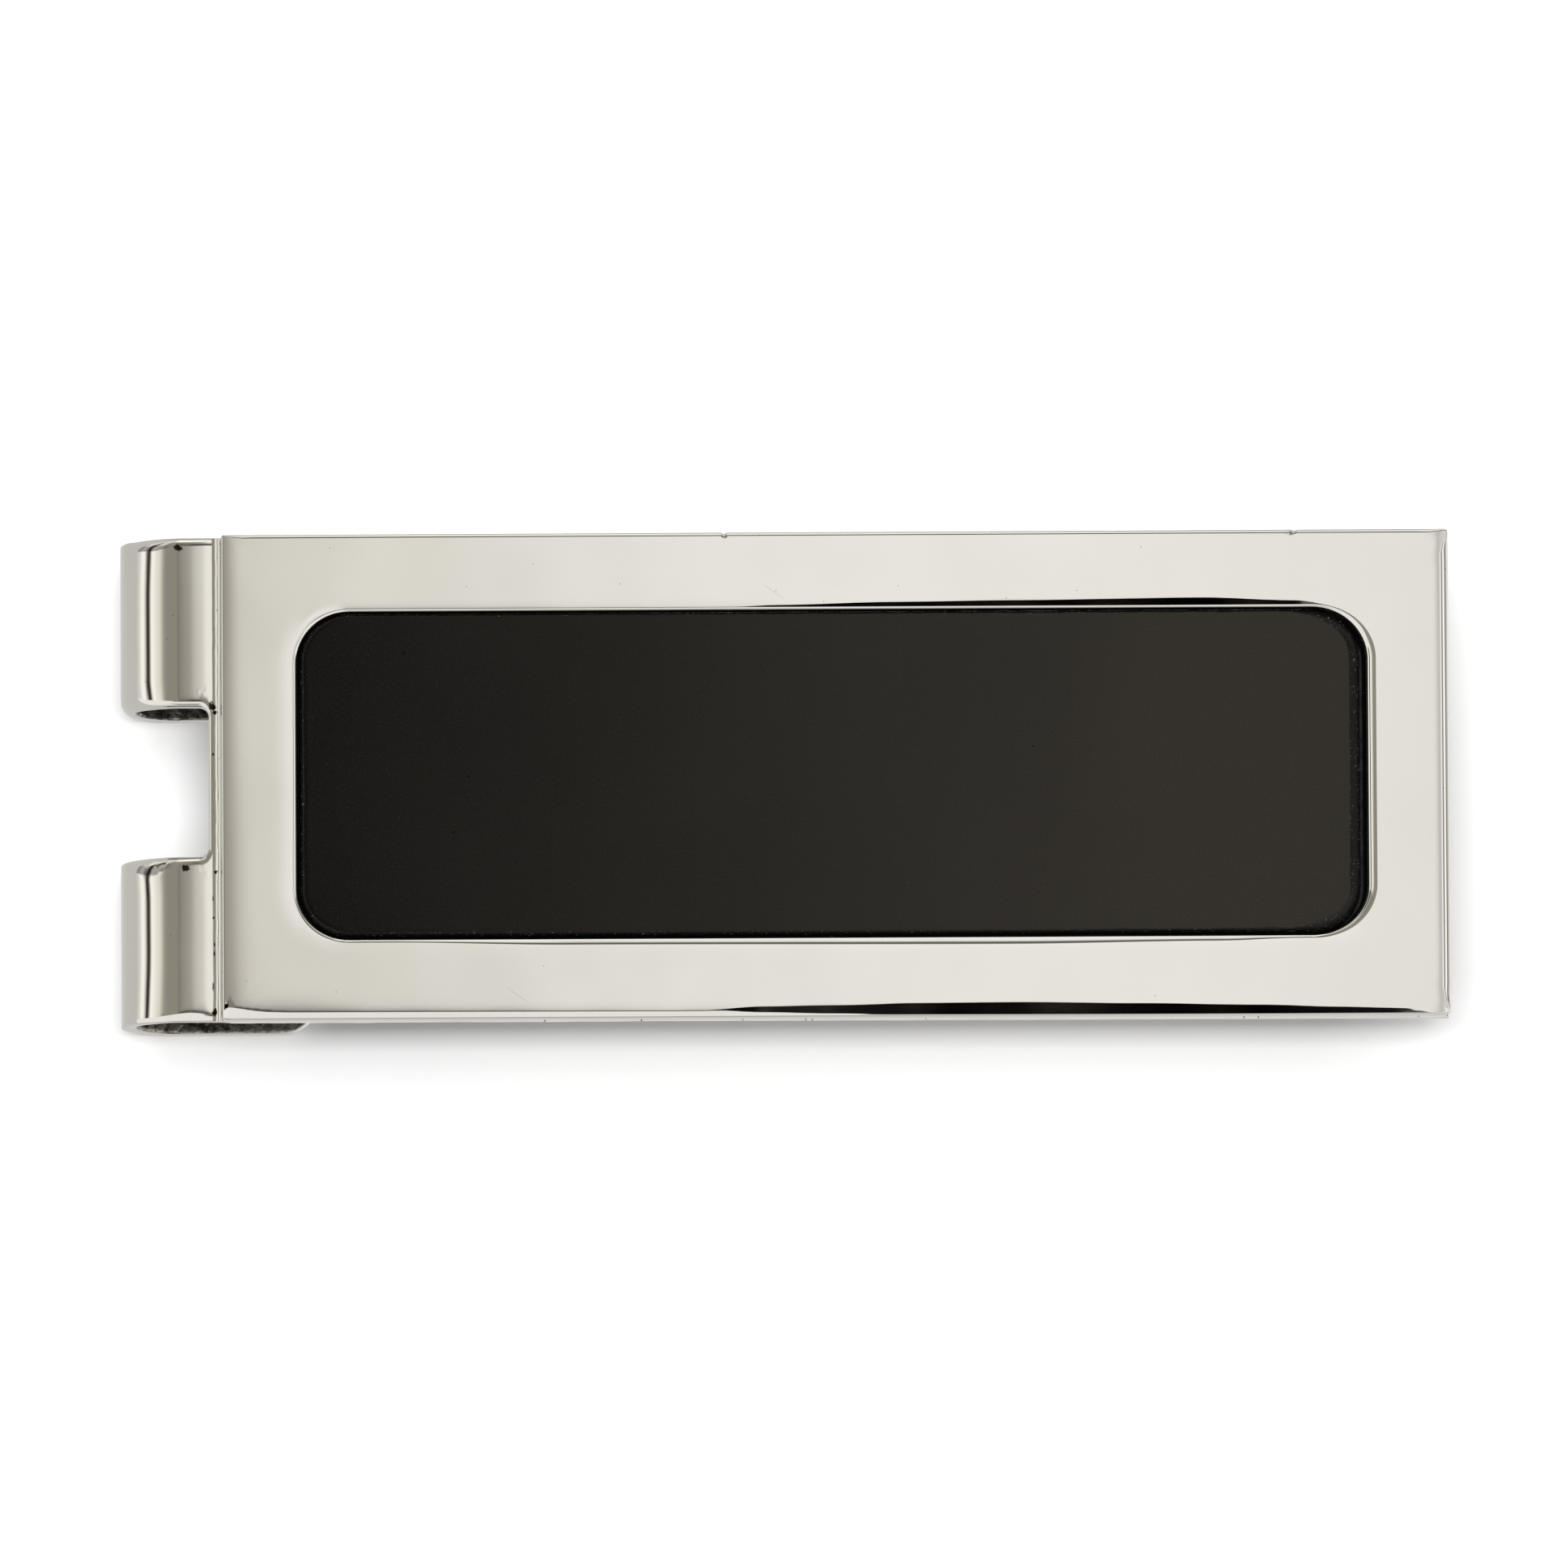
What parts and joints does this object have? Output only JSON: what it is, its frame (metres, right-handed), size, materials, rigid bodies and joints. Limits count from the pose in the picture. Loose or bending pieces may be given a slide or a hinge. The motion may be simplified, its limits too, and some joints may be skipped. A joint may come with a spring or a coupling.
{
  "type": "money clip",
  "caption": "Polished silver money clip with a rectangular face frame around a bevelled black stone slab, on a folded spring strip with a curved pinching tongue behind.",
  "frame": {"origin": "middle of the clip's bounding box in X and Y, on the plane that the flat behind the fold and the tongue's lip rest on", "axes": "+X along the clip from the fold to the open end, +Y across it, +Z out of the face with the stone"},
  "size_m": [0.054, 0.0198, 0.0062],
  "materials": {
    "silver": "mirror polished with fine scratches, dull and rough inside the fold",
    "black_stone": "polished black stone, fine grained",
    "adhesive": "cured black adhesive",
    "solder": "smooth solder, slightly pitted"
  },
  "bodies": {
    "front": {"face_frame": "silver", "stone_inlay": "black_stone", "adhesive_bed": "adhesive", "solder_film": "solder", "solder_fillet": "solder", "front_leaf": "silver", "far_bend_upper": "silver", "near_bend_upper": "silver"},
    "tongue": {"far_bend_lower": "silver", "near_bend_lower": "silver", "tongue": "silver"}
  },
  "joints": [
    {"name": "tongue_flex", "type": "hinge", "parent": "front", "child": "tongue", "pos_m": [-0.0246, 0, 0.0024], "axis": [0, 1, 0], "range_deg": [0, 6], "stiffness_Nm_per_rad": 1.6, "springref_deg": -1.15, "deforming": ["far_bend_lower", "near_bend_lower"]}
  ]
}
